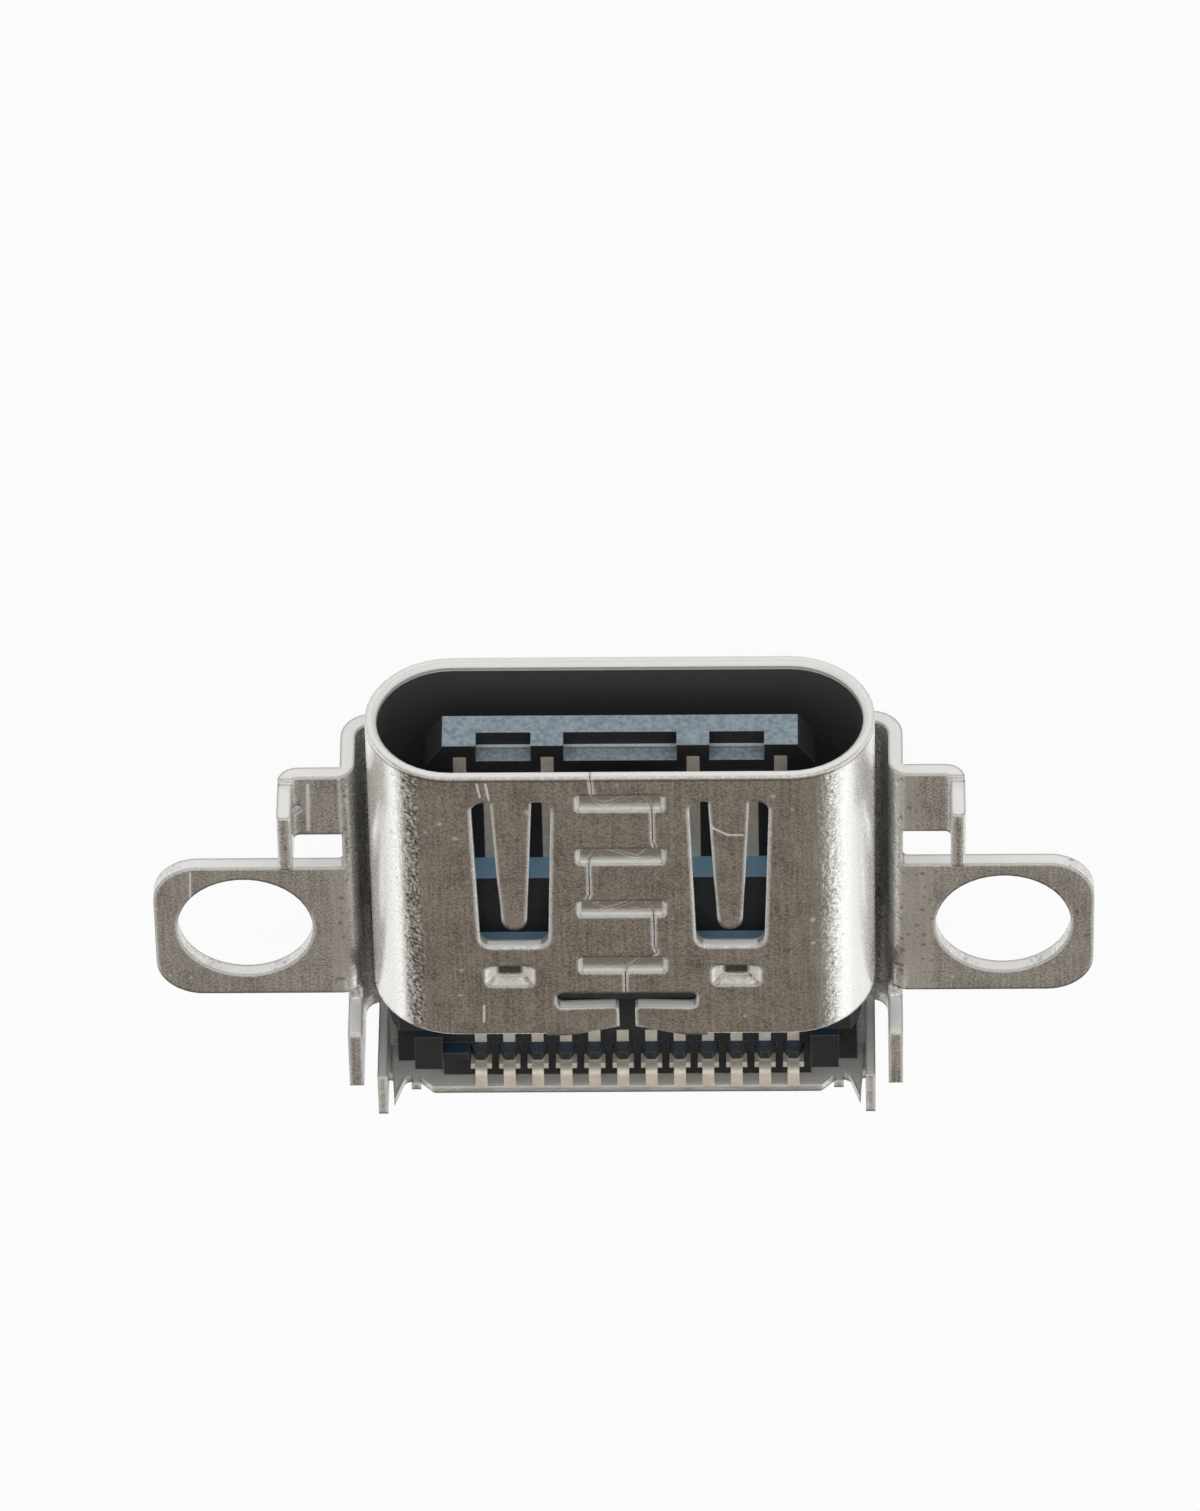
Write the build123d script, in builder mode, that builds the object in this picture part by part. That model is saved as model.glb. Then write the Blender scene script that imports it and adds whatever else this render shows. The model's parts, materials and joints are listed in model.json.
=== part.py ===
from build123d import *
import os

# Board sunk charging port with an oval mouth and two rows of twelve contacts.
# It lies on the flat back of its mounting bracket: +Z is up, out of the seamed
# face of the shell, and the mouth faces -Y. Sizes are in millimetres. A depth
# is measured backwards from the rim of the mouth.

# Mouth and shell
opening_width = 8.34
opening_height = 2.56
shell_wall = 0.20
shell_length = 6.30
rim_lead_in = 0.07
rim_round = 0.04
rear_round = 0.08

# Spring fingers in the seamed face of the shell
slot_root_depth = 0.62
slot_end_depth = 4.12
slot_root_inner_x = 1.18
slot_root_outer_x = 2.55
slot_end_inner_x = 1.28
slot_end_outer_x = 2.45
slot_corner = 0.22
slot_edge_round = 0.04
finger_x = 1.86
finger_root_width = 0.72
finger_tip_width = 0.44
finger_tip_depth = 3.80
finger_knee_depth = 2.50
finger_low_depth = 3.30
finger_drop = 0.20
finger_tip_lift = 0.09
finger_bend_radius = 0.90

# Rolled seam with its four dovetail locks and coined marks
seam_gap = 0.02
seam_bend = 0.06
seam_side_x = 0.55
seam_start_x = 0.50
seam_end_x = -0.04
lock_slack = 0.05
lock_depths = (0.82, 2.10, 3.37)
last_lock_depth = 4.75
lock_rise = 0.37
coin_width = 1.50
coin_length = 0.38
coin_sink = 0.10
coin_draft = 0.05
coin_corner = 0.06

# Lanced dimples that hold the moulding
dimple_x = 1.96
dimple_depth = 4.83
dimple_width = 0.84
dimple_length = 0.50
dimple_floor_width = 0.50
dimple_floor_length = 0.30
dimple_sink = 0.16
dimple_corner = 0.12

# T slot and the two drooping flaps at the rear of the seamed face
cross_depth = 5.26
cross_length = 0.36
cross_half_width = 1.21
cross_corner = 0.10
stem_width = 0.28
stem_x = -0.055
flap_front_drop = 0.03
flap_rear_drop = 0.25
flap_bend_x = 1.00
flap_edge_round = 0.10
flap_bend_radius = 1.20

# Folded mounting bracket
bracket_wall = 0.25
bracket_front_depth = 1.59
bracket_rear_depth = 8.47
bracket_side_gap = 0.23
bracket_back_radius = 0.30
bracket_ear_radius = 0.10
board_plane_z = 1.57
rear_leg_reach = 0.77
front_leg_reach = 0.87
ear_span = 16.35
ear_front_depth = 3.79
ear_rear_depth = 6.88
ear_corner = 0.80
hole_depth = 5.25
hole_spacing = 13.20
hole_diameter = 2.36
tab_rear_depth = 2.97
front_leg_outer_x = 5.92
front_leg_front_depth = 1.72
leg_tip_round = 0.07
relief_radius = 0.09
relief_depth = 2.34
relief_x = 5.63
side_wall_edge_drop = 0.12
rear_leg_front_depth = 7.16

# Thin rear shield
shield_wall = 0.17
overall_depth = 9.58
shield_floor_front_depth = 6.50
shield_edge_z = 1.42
shield_side_x = 4.37
shield_bend_radius = 0.08
corner_leg_length = 0.94
corner_leg_rear_gap = 0.30
corner_leg_tip_z = 2.21
corner_notch_z = 1.12
spike_outer_x = 4.15
spike_tip_x = 4.11
spike_tip_z = 1.74
spike_inner_x = 3.94
arch_x = 3.73
arch_z = 1.10
arch_end_x = 3.42
arch_bend = 0.10
lug_width = 0.17
lug_top_z = 1.31

# Tongue
tongue_depth = 0.33
tongue_thickness = 0.74
tongue_width = 6.69
tongue_nose_width = 6.09
tongue_nose_length = 0.45
lip_thickness = 0.41
lip_length = 0.36
tooth_width = 0.56
step_depth = 3.02
step_thickness = 1.76
step_width = 7.60
step_corner = 0.30
base_depth = 4.34
base_clearance = 0.03
insert_front_depth = 0.98
insert_half_width = 3.02
insert_rear_depth = 6.75

# Stiffener plate in the middle of the tongue
plate_thickness = 0.14
plate_front_depth = 0.62
plate_half_width = 3.22
plate_rear_depth = 6.60
latch_depth = 1.42
latch_length = 0.82
latch_cut = 0.26

# Contacts
contact_count = 12
contact_pitch = 0.50
contact_width = 0.22
contact_thickness = 0.12
long_contact_depth = 0.60
short_contact_depth = 1.32
long_contact_places = (0, 3, 8, 11)
tail_width = 0.21
near_tail_shift = 0.07
far_tail_shift = -0.18
near_drop_depth = 7.02
near_foot_end_depth = 7.72
jog_start_depth = 4.90
jog_end_depth = 5.50
far_step_depth = 6.20
far_run_z = 1.23
far_foot_length = 0.40
far_foot_wall_gap = 0.13
shoulder_width = 0.37
shoulder_top_z = 1.39

# Rear of the moulded housing
housing_half_width = 4.05
housing_side_depth = 7.60
block_rear_depth = 7.00
block_rear_top_z = 2.40
tail_deck_wall_gap = 0.74
floor_top_z = 1.15
corner_floor_z = 0.80
post_inner_x = 3.24
post_outer_x = 3.73
post_length = 0.80
post_wall_gap = 0.57
post_top_z = 1.55
end_block_inner_x = 2.79
rib_length = 0.18
rib_base_width = 0.40
rib_top_width = 0.16
rib_top_z = 1.50
fit_gap = 0.02

# Places worked out from the sizes above
mouth_y = -overall_depth / 2
shell_width = opening_width + 2 * shell_wall
shell_height = opening_height + 2 * shell_wall
shell_bottom_z = bracket_wall
shell_mid_z = shell_bottom_z + shell_height / 2
shell_top_z = shell_bottom_z + shell_height
wall_inner_x = shell_width / 2 + bracket_side_gap
wall_outer_x = wall_inner_x + bracket_wall
ear_back_z = board_plane_z - bracket_wall
rear_leg_tip_z = board_plane_z + rear_leg_reach
front_leg_tip_z = board_plane_z + front_leg_reach
tongue_top_z = shell_mid_z + tongue_thickness / 2
tongue_bottom_z = shell_mid_z - tongue_thickness / 2
shield_inner_depth = overall_depth - shield_wall
corner_leg_rear_depth = overall_depth - corner_leg_rear_gap
corner_leg_front_depth = corner_leg_rear_depth - corner_leg_length
far_foot_end_depth = shield_inner_depth - far_foot_wall_gap
far_rise_depth = far_foot_end_depth - far_foot_length
tail_deck_rear_depth = shield_inner_depth - tail_deck_wall_gap
rib_front_depth = tail_deck_rear_depth - rib_length
post_rear_depth = shield_inner_depth - post_wall_gap
shield_floor_z = shell_bottom_z + shield_wall
margin = 1.0


def section(depth, x=0):
    """Upright plane across the port at a depth, local x = X and local y = Z."""
    return Plane(origin=(x, mouth_y + depth, 0), x_dir=(1, 0, 0), z_dir=(0, -1, 0))


def level(z, x=0):
    """Flat plane at a height, local x = X and local y = depth."""
    return Plane(origin=(x, mouth_y, z))


def side(x):
    """Upright plane along the port, local x = depth and local y = Z."""
    return Plane(origin=(x, mouth_y, 0), x_dir=(0, 1, 0), z_dir=(1, 0, 0))


def contact_x(place):
    """Middle of one contact on the tongue, place 0 at the photograph's left."""
    return ((contact_count - 1) / 2 - place) * contact_pitch


def seam_points():
    """Corners of the seam from the rim to the T slot, as X and depth."""
    points = [(seam_start_x, 0), (seam_start_x - lock_slack, lock_depths[0] - lock_rise / 2)]
    seam_side = 1
    for lock_depth in lock_depths:
        points += [
            (seam_side * seam_side_x / 2, lock_depth - lock_rise / 5),
            (-seam_side * 0.7 * seam_side_x, lock_depth - lock_rise),
            (-seam_side * seam_side_x, lock_depth),
            (-seam_side * seam_side_x, lock_depth + 2 * lock_rise),
            (-seam_side * (seam_side_x + lock_slack), lock_depth + 2.4 * lock_rise),
        ]
        seam_side = -seam_side
    points += [
        (seam_side * seam_side_x / 2, last_lock_depth - 0.6 * lock_rise),
        (seam_end_x, last_lock_depth),
        (seam_end_x, cross_depth + cross_length),
    ]
    return points


def save(name, piece):
    """Label a finished piece and write it to its own file."""
    piece.part.label = name
    export_step(piece.part, "parts/" + name + ".step")


os.makedirs("parts", exist_ok=True)

# Spring finger, a strip of the shell bent inwards near its free end
with BuildPart() as finger:
    with BuildSketch(side(finger_x)):
        with BuildLine():
            FilletPolyline(
                (slot_root_depth - shell_wall, shell_top_z),
                (finger_knee_depth, shell_top_z),
                (finger_low_depth, shell_top_z - finger_drop),
                (finger_tip_depth, shell_top_z - finger_drop + finger_tip_lift),
                radius=finger_bend_radius,
            )
            offset(amount=shell_wall, side=Side.RIGHT)
        make_face()
    extrude(amount=finger_root_width, both=True)
    with BuildSketch(level(0, finger_x)):
        with BuildLine():
            Polyline(
                (-finger_tip_width / 2, finger_tip_depth - finger_tip_width / 2),
                (-finger_root_width / 2, slot_root_depth - shell_wall),
                (finger_root_width / 2, slot_root_depth - shell_wall),
                (finger_tip_width / 2, finger_tip_depth - finger_tip_width / 2),
            )
            ThreePointArc(
                (finger_tip_width / 2, finger_tip_depth - finger_tip_width / 2),
                (0, finger_tip_depth),
                (-finger_tip_width / 2, finger_tip_depth - finger_tip_width / 2),
            )
        make_face()
    extrude(amount=shell_top_z + margin, mode=Mode.INTERSECT)

# Flap beside the stem of the T slot, bent down towards its rear inner corner
flap_inner_x = stem_width / 2
flap_front_depth = cross_depth + cross_length
with BuildPart() as flap:
    for flap_depth, flap_drop in ((flap_front_depth, flap_front_drop), (shell_length, flap_rear_drop)):
        with BuildSketch(section(flap_depth)):
            with BuildLine():
                FilletPolyline(
                    (flap_bend_x + 2 * shell_wall, shell_top_z),
                    (flap_bend_x, shell_top_z),
                    (0, shell_top_z - flap_drop),
                    radius=flap_bend_radius,
                )
                offset(amount=shell_wall, side=Side.LEFT)
            make_face()
    loft()
    with BuildSketch(level(0)) as flap_outline:
        with Locations(((flap_inner_x + flap_bend_x + margin) / 2, (flap_front_depth + shell_length) / 2)):
            Rectangle(flap_bend_x + margin - flap_inner_x, shell_length - flap_front_depth)
        fillet(flap_outline.vertices().group_by(Axis.X)[0].group_by(Axis.Y)[0], flap_edge_round)
    extrude(amount=shell_top_z + margin, mode=Mode.INTERSECT)

# Shell: one rolled tube with a dovetailed seam, fingers, dimples and T slot
with BuildPart() as shell:
    with BuildSketch(section(0)):
        with Locations((0, shell_mid_z)):
            SlotOverall(shell_width, shell_height)
            SlotOverall(opening_width, opening_height, mode=Mode.SUBTRACT)
    extrude(amount=-shell_length)
    mouth_face = shell.faces().sort_by(Axis.Y)[0]
    chamfer(mouth_face.inner_wires()[0].edges(), rim_lead_in)
    mouth_face = shell.faces().sort_by(Axis.Y)[0]
    fillet(mouth_face.outer_wire().edges(), rim_round)
    rear_face = shell.faces().sort_by(Axis.Y)[-1]
    fillet(rear_face.outer_wire().edges(), rear_round)
    # finger slots
    with BuildSketch(level(shell_top_z - 2 * shell_wall)) as slots:
        with BuildLine():
            Polyline(
                (slot_root_inner_x, slot_root_depth),
                (slot_root_outer_x, slot_root_depth),
                (slot_end_outer_x, slot_end_depth),
                (slot_end_inner_x, slot_end_depth),
                close=True,
            )
        make_face()
        fillet(slots.vertices(), slot_corner)
        mirror(about=Plane.YZ)
    extrude(amount=4 * shell_wall, mode=Mode.SUBTRACT)
    slot_rims = shell.faces().sort_by(Axis.Z)[-1].inner_wires()
    fillet([edge for rim in slot_rims for edge in rim.edges()], slot_edge_round)
    # T slot, opened over the flaps as well
    with BuildSketch(level(shell_top_z - 2 * shell_wall)):
        with Locations((stem_x, cross_depth + (shell_length - cross_depth + margin) / 2)):
            Rectangle(2 * cross_half_width, shell_length - cross_depth + margin)
    extrude(amount=4 * shell_wall, mode=Mode.SUBTRACT)
    add(finger.part)
    mirror(finger.part, about=Plane.YZ)
    with Locations((stem_x, 0, 0)):
        add(flap.part)
        add(mirror(flap.part, about=Plane.YZ, mode=Mode.PRIVATE))
    upright_edges = shell.edges().filter_by(Axis.Z)
    cross_ends = [
        edge
        for edge in upright_edges
        if abs(abs(edge.center().X - stem_x) - cross_half_width) < fit_gap
        and edge.center().Y < mouth_y + flap_front_depth + fit_gap
    ]
    fillet(cross_ends, cross_corner)
    # dimples, each a pressed bump with its hollow
    for dimple_side in (-1, 1):
        with BuildSketch(level(shell_top_z - shell_wall, dimple_side * dimple_x)):
            with Locations((0, dimple_depth)):
                RectangleRounded(dimple_width, dimple_length, dimple_corner)
        with BuildSketch(level(shell_top_z - shell_wall - dimple_sink, dimple_side * dimple_x)):
            with Locations((0, dimple_depth)):
                RectangleRounded(dimple_floor_width, dimple_floor_length, dimple_corner)
        loft()
        with BuildSketch(level(shell_top_z, dimple_side * dimple_x)):
            with Locations((0, dimple_depth)):
                RectangleRounded(dimple_width, dimple_length, dimple_corner)
        with BuildSketch(level(shell_top_z - dimple_sink, dimple_side * dimple_x)):
            with Locations((0, dimple_depth)):
                RectangleRounded(dimple_floor_width, dimple_floor_length, dimple_corner)
        loft(mode=Mode.SUBTRACT)
    # coined marks across the locks, with sloping sides
    for lock_depth in lock_depths + (last_lock_depth,):
        with BuildSketch(level(shell_top_z)):
            with Locations((0, lock_depth - coin_length / 2)):
                RectangleRounded(coin_width, coin_length, coin_corner)
        with BuildSketch(level(shell_top_z - coin_sink)):
            with Locations((0, lock_depth - coin_length / 2)):
                RectangleRounded(coin_width - 2 * coin_draft, coin_length - 2 * coin_draft, coin_corner / 2)
        loft(mode=Mode.SUBTRACT)
    # seam, a fine slit that hooks from side to side at each lock
    with BuildSketch(level(shell_top_z - 2 * shell_wall)):
        with BuildLine() as seam:
            FilletPolyline(*seam_points(), radius=seam_bend)
        trace(line_width=seam_gap)
    extrude(amount=4 * shell_wall, mode=Mode.SUBTRACT)

# Bracket: one folded sheet with ears, front tabs and four solder legs
hat_length = bracket_rear_depth - bracket_front_depth
tab_length = tab_rear_depth - bracket_front_depth
leg_set_back = front_leg_front_depth - bracket_front_depth
with BuildPart() as bracket:
    with BuildSketch(section(bracket_front_depth)):
        with BuildLine():
            FilletPolyline(
                (-ear_span / 2, board_plane_z),
                (-wall_inner_x, board_plane_z),
                (-wall_inner_x, shell_bottom_z),
                (wall_inner_x, shell_bottom_z),
                (wall_inner_x, board_plane_z),
                (ear_span / 2, board_plane_z),
                radius=[
                    bracket_ear_radius + bracket_wall,
                    bracket_back_radius,
                    bracket_back_radius,
                    bracket_ear_radius + bracket_wall,
                ],
            )
            offset(amount=bracket_wall, side=Side.RIGHT)
        make_face()
    extrude(amount=-hat_length)
    # the ears stay between their two ends
    for cut_side in (-1, 1):
        with BuildSketch(level(ear_back_z - bracket_wall, cut_side * wall_outer_x)) as flange_cut:
            with Locations((cut_side * ear_span / 2, bracket_front_depth)):
                Rectangle(ear_span, 2 * (ear_front_depth - bracket_front_depth))
            with Locations((cut_side * ear_span / 2, bracket_rear_depth)):
                Rectangle(ear_span, 2 * (bracket_rear_depth - ear_rear_depth))
        extrude(amount=3 * bracket_wall, mode=Mode.SUBTRACT)
    # the rear of each side wall stands straight
    straight_from_z = ear_back_z - bracket_ear_radius
    with BuildSketch(side(-ear_span)):
        with Locations((ear_rear_depth + hat_length / 2, straight_from_z + margin / 2)):
            Rectangle(hat_length, margin)
    extrude(amount=2 * ear_span, mode=Mode.SUBTRACT)
    for wall_side in (-1, 1):
        with BuildSketch(side(wall_side * wall_inner_x)) as wall_outline:
            with BuildLine():
                Polyline(
                    (ear_rear_depth, straight_from_z),
                    (ear_rear_depth, board_plane_z - side_wall_edge_drop),
                    (rear_leg_front_depth, board_plane_z - side_wall_edge_drop),
                    (rear_leg_front_depth, rear_leg_tip_z),
                    (bracket_rear_depth, rear_leg_tip_z),
                    (bracket_rear_depth, straight_from_z),
                    close=True,
                )
            make_face()
            fillet(wall_outline.vertices().group_by(Axis.Z)[-1], leg_tip_round)
        extrude(amount=wall_side * bracket_wall)
        # front tab, turned up into its leg
        with BuildSketch(section(bracket_front_depth)):
            with BuildLine():
                FilletPolyline(
                    (wall_side * wall_outer_x, board_plane_z),
                    (wall_side * (front_leg_outer_x - bracket_wall), board_plane_z),
                    (wall_side * (front_leg_outer_x - bracket_wall), front_leg_tip_z),
                    radius=bracket_ear_radius,
                )
                offset(amount=bracket_wall, side=Side.RIGHT if wall_side > 0 else Side.LEFT)
            make_face()
        extrude(amount=-tab_length)
        with BuildSketch(side(wall_side * (front_leg_outer_x - 2 * bracket_wall))):
            with Locations((bracket_front_depth, front_leg_tip_z)):
                Rectangle(2 * leg_set_back, 2 * front_leg_reach - leg_tip_round)
        extrude(amount=wall_side * 3 * bracket_wall, mode=Mode.SUBTRACT)
    front_tips = [edge for edge in bracket.edges().filter_by(Axis.Y).group_by(Axis.Z)[-1]]
    fillet(front_tips, leg_tip_round)
    # half round relief beside the leg of the photograph's left tab
    with BuildSketch(level(ear_back_z)):
        with Locations((relief_x, relief_depth)):
            Circle(relief_radius)
    extrude(amount=bracket_wall + relief_radius, mode=Mode.SUBTRACT)
    ear_ends = bracket.edges().filter_by(Axis.Z)
    fillet(ear_ends.group_by(Axis.X)[0] + ear_ends.group_by(Axis.X)[-1], ear_corner)
    with Locations(level(board_plane_z)):
        with Locations((-hole_spacing / 2, hole_depth), (hole_spacing / 2, hole_depth)):
            Hole(hole_diameter / 2, depth=2 * bracket_wall)

# Rear shield: floor, rear wall with two arches, and two corner legs
shield_middle_x = shield_side_x - shield_wall
with BuildPart() as rear_shield:
    with BuildSketch(level(shell_bottom_z)):
        with BuildLine():
            FilletPolyline(
                (shield_middle_x, corner_leg_front_depth),
                (shield_middle_x, shield_inner_depth),
                (-shield_middle_x, shield_inner_depth),
                (-shield_middle_x, corner_leg_front_depth),
                radius=shield_bend_radius,
            )
            offset(amount=shield_wall, side=Side.RIGHT)
        make_face()
    extrude(amount=corner_leg_tip_z - shell_bottom_z)
    # the wall ends low, with an arch and a spike at each corner
    with BuildSketch(section(corner_leg_rear_depth)) as wall_opening:
        with BuildLine():
            FilletPolyline(
                (0, shield_edge_z),
                (arch_end_x, shield_edge_z),
                (arch_x, arch_z),
                (spike_inner_x, arch_z + arch_bend),
                (spike_tip_x, spike_tip_z),
                (spike_outer_x, corner_notch_z),
                (shield_side_x + margin, corner_notch_z),
                radius=[arch_bend, arch_bend, arch_bend, 0, 0],
            )
            Polyline(
                (shield_side_x + margin, corner_notch_z),
                (shield_side_x + margin, corner_leg_tip_z + margin),
                (0, corner_leg_tip_z + margin),
                (0, shield_edge_z),
            )
        make_face()
        mirror(about=Plane.YZ)
    extrude(amount=-margin, mode=Mode.SUBTRACT)
    # a small lug stands in each arch
    with BuildSketch(section(shield_inner_depth)):
        with Locations((-arch_x, (arch_z + lug_top_z) / 2), (arch_x, (arch_z + lug_top_z) / 2)):
            Rectangle(lug_width, lug_top_z - arch_z + 2 * fit_gap)
    extrude(amount=-shield_wall)
    with BuildSketch(level(shell_bottom_z)):
        with Locations((0, (shield_floor_front_depth + shield_inner_depth) / 2)):
            Rectangle(2 * shield_middle_x, shield_inner_depth - shield_floor_front_depth)
    extrude(amount=shield_wall)

# Contacts: near row and far row, long and short
def near_route(front):
    """Line along the top of a near contact."""
    return (
        (front, tongue_top_z),
        (near_drop_depth, tongue_top_z),
        (near_drop_depth, board_plane_z),
        (near_foot_end_depth, board_plane_z),
    )


def far_route(front):
    """Line along the top of a far contact."""
    return (
        (front, tongue_bottom_z + contact_thickness),
        (far_step_depth, tongue_bottom_z + contact_thickness),
        (far_step_depth + contact_thickness, far_run_z),
        (far_rise_depth, far_run_z),
        (far_rise_depth, board_plane_z),
        (far_foot_end_depth, board_plane_z),
    )


def contact_shape(route, shift):
    """One bent contact standing at X = 0, its tail moved sideways by shift."""
    front = route[0][0]
    back = route[-1][0]
    bends = [contact_thickness * 0.4] * (len(route) - 2)
    with BuildPart() as shape:
        with BuildSketch(side(0)):
            with BuildLine():
                FilletPolyline(*route, radius=[r + contact_thickness for r in bends])
                offset(amount=contact_thickness, side=Side.RIGHT)
            make_face()
        extrude(amount=contact_pitch, both=True)
        with BuildSketch(level(0)):
            with BuildLine():
                Polyline(
                    (-contact_width / 2, front),
                    (contact_width / 2, front),
                    (contact_width / 2, jog_start_depth),
                    (shift + tail_width / 2, jog_end_depth),
                    (shift + tail_width / 2, back),
                    (shift - tail_width / 2, back),
                    (shift - tail_width / 2, jog_end_depth),
                    (-contact_width / 2, jog_start_depth),
                    close=True,
                )
            make_face()
        extrude(amount=shell_top_z, mode=Mode.INTERSECT)
        if route[-2][0] == far_rise_depth:
            with BuildSketch(section(far_rise_depth, shift)):
                with Locations((0, (far_run_z - contact_thickness + shoulder_top_z) / 2)):
                    Rectangle(shoulder_width, shoulder_top_z - far_run_z + contact_thickness)
            extrude(amount=-contact_thickness)
    return shape.part


near_contacts = []
far_contacts = []
near_shapes = {}
far_shapes = {}
for front in (long_contact_depth, short_contact_depth):
    near_shapes[front] = contact_shape(near_route(front), near_tail_shift)
    far_shapes[front] = contact_shape(far_route(front), far_tail_shift)
for place in range(contact_count):
    front = long_contact_depth if place in long_contact_places else short_contact_depth
    with BuildPart() as near_contact:
        with Locations((contact_x(place), 0, 0)):
            add(near_shapes[front])
    near_contacts.append(near_contact)
    with BuildPart() as far_contact:
        with Locations((contact_x(place), 0, 0)):
            add(far_shapes[front])
    far_contacts.append(far_contact)

# Stiffener plate between the two rows, with a notch at each side for the latches
latch_x = tongue_width / 2 - latch_cut
with BuildPart() as mid_plate:
    with BuildSketch(level(shell_mid_z - plate_thickness / 2)) as plate_outline:
        with Locations((0, (plate_front_depth + plate_rear_depth) / 2)):
            Rectangle(2 * plate_half_width, plate_rear_depth - plate_front_depth)
        for latch_side in (-1, 1):
            with Locations((latch_side * (latch_x + margin / 2), latch_depth + latch_length / 2)):
                Rectangle(margin, latch_length, mode=Mode.SUBTRACT)
    extrude(amount=plate_thickness)

# Inserts: the two inner mouldings that hold the rows of contacts
insert_length = insert_rear_depth - insert_front_depth
with BuildPart() as near_insert:
    with BuildSketch(level(shell_mid_z)):
        with Locations((0, insert_front_depth + insert_length / 2)):
            Rectangle(2 * insert_half_width, insert_length)
    extrude(amount=tongue_thickness / 2)
    add(mid_plate.part, mode=Mode.SUBTRACT)
    for contact in near_contacts:
        add(contact.part, mode=Mode.SUBTRACT)
with BuildPart() as far_insert:
    with BuildSketch(level(shell_mid_z)):
        with Locations((0, insert_front_depth + insert_length / 2)):
            Rectangle(2 * insert_half_width, insert_length)
    extrude(amount=-tongue_thickness / 2)
    add(mid_plate.part, mode=Mode.SUBTRACT)
    for contact in far_contacts:
        add(contact.part, mode=Mode.SUBTRACT)

# Housing: tongue, step, base and the open deck round the tails, in one moulding
base_width = opening_width - 2 * base_clearance
base_height = opening_height - 2 * base_clearance
deck_bottom_z = shield_floor_z + fit_gap
with BuildPart() as housing:
    # tongue with a tapered nose
    with BuildSketch(level(tongue_bottom_z)):
        with BuildLine():
            Polyline(
                (-tongue_nose_width / 2, tongue_depth),
                (tongue_nose_width / 2, tongue_depth),
                (tongue_width / 2, tongue_depth + tongue_nose_length),
                (tongue_width / 2, step_depth),
                (-tongue_width / 2, step_depth),
                (-tongue_width / 2, tongue_depth + tongue_nose_length),
                close=True,
            )
        make_face()
        for latch_side in (-1, 1):
            with Locations((latch_side * (latch_x + margin / 2), latch_depth + latch_length / 2)):
                Rectangle(margin, latch_length, mode=Mode.SUBTRACT)
    extrude(amount=tongue_thickness)
    # notches in the lip, with a full tooth in front of each long contact
    with BuildSketch(level(tongue_bottom_z + lip_thickness)):
        with Locations((0, tongue_depth + lip_length / 2)):
            Rectangle(2 * contact_x(long_contact_places[0]) - tooth_width, lip_length)
        for place in long_contact_places[1:-1]:
            with Locations((contact_x(place), tongue_depth + lip_length / 2)):
                Rectangle(tooth_width, lip_length, mode=Mode.SUBTRACT)
    extrude(amount=tongue_thickness, mode=Mode.SUBTRACT)
    # step at the root of the tongue
    with BuildSketch(section(step_depth)):
        with Locations((0, shell_mid_z)):
            RectangleRounded(step_width, step_thickness, step_corner)
    extrude(amount=-(base_depth - step_depth))
    # base that fills the shell and reaches past it
    with BuildSketch(section(base_depth)):
        with Locations((0, shell_mid_z)):
            SlotOverall(base_width, base_height)
    extrude(amount=-(block_rear_depth - base_depth))
    # behind the shell the block is lower
    with BuildSketch(level(block_rear_top_z)):
        with Locations((0, (shell_length + fit_gap + block_rear_depth) / 2)):
            Rectangle(opening_width, block_rear_depth - shell_length - fit_gap)
    extrude(amount=margin, mode=Mode.SUBTRACT)
    # deck and floor behind the base
    with BuildSketch(level(deck_bottom_z)):
        with Locations((0, (shell_length + fit_gap + tail_deck_rear_depth) / 2)):
            Rectangle(2 * post_inner_x, tail_deck_rear_depth - shell_length - fit_gap)
        with Locations((0, (shell_length + fit_gap + housing_side_depth) / 2)):
            Rectangle(2 * housing_half_width, housing_side_depth - shell_length - fit_gap)
    extrude(amount=far_run_z - deck_bottom_z)
    with BuildSketch(level(deck_bottom_z)):
        with Locations((0, (housing_side_depth + shield_inner_depth - fit_gap) / 2)):
            Rectangle(2 * housing_half_width, shield_inner_depth - fit_gap - housing_side_depth)
    extrude(amount=corner_floor_z - deck_bottom_z)
    with BuildSketch(level(deck_bottom_z)):
        with Locations((0, (housing_side_depth + shield_inner_depth - fit_gap) / 2)):
            Rectangle(2 * post_inner_x, shield_inner_depth - fit_gap - housing_side_depth)
    extrude(amount=floor_top_z - deck_bottom_z)
    # posts at the two ends of the row of tails
    post_middle_depth = post_rear_depth - post_length / 2
    for post_side in (-1, 1):
        with BuildSketch(level(deck_bottom_z)):
            with Locations((post_side * (post_inner_x + post_outer_x) / 2, post_middle_depth)):
                Rectangle(post_outer_x - post_inner_x, post_length)
        extrude(amount=post_top_z - deck_bottom_z)
    # block between the first post and the first tail
    with BuildSketch(level(deck_bottom_z)):
        with Locations(((end_block_inner_x + post_inner_x) / 2, rib_front_depth + rib_length / 2)):
            Rectangle(post_inner_x - end_block_inner_x, rib_length)
    extrude(amount=rib_top_z - deck_bottom_z)
    # ribs over the tails, tapering towards their tops
    for place in range(contact_count):
        with BuildSketch(section(rib_front_depth, contact_x(place) + far_tail_shift)):
            with BuildLine():
                Polyline(
                    (-rib_base_width / 2, far_run_z - contact_thickness),
                    (rib_base_width / 2, far_run_z - contact_thickness),
                    (rib_base_width / 2, far_run_z),
                    (rib_top_width / 2, rib_top_z),
                    (-rib_top_width / 2, rib_top_z),
                    (-rib_base_width / 2, far_run_z),
                    close=True,
                )
            make_face()
        extrude(amount=-(tail_deck_rear_depth - rib_front_depth))
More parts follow.
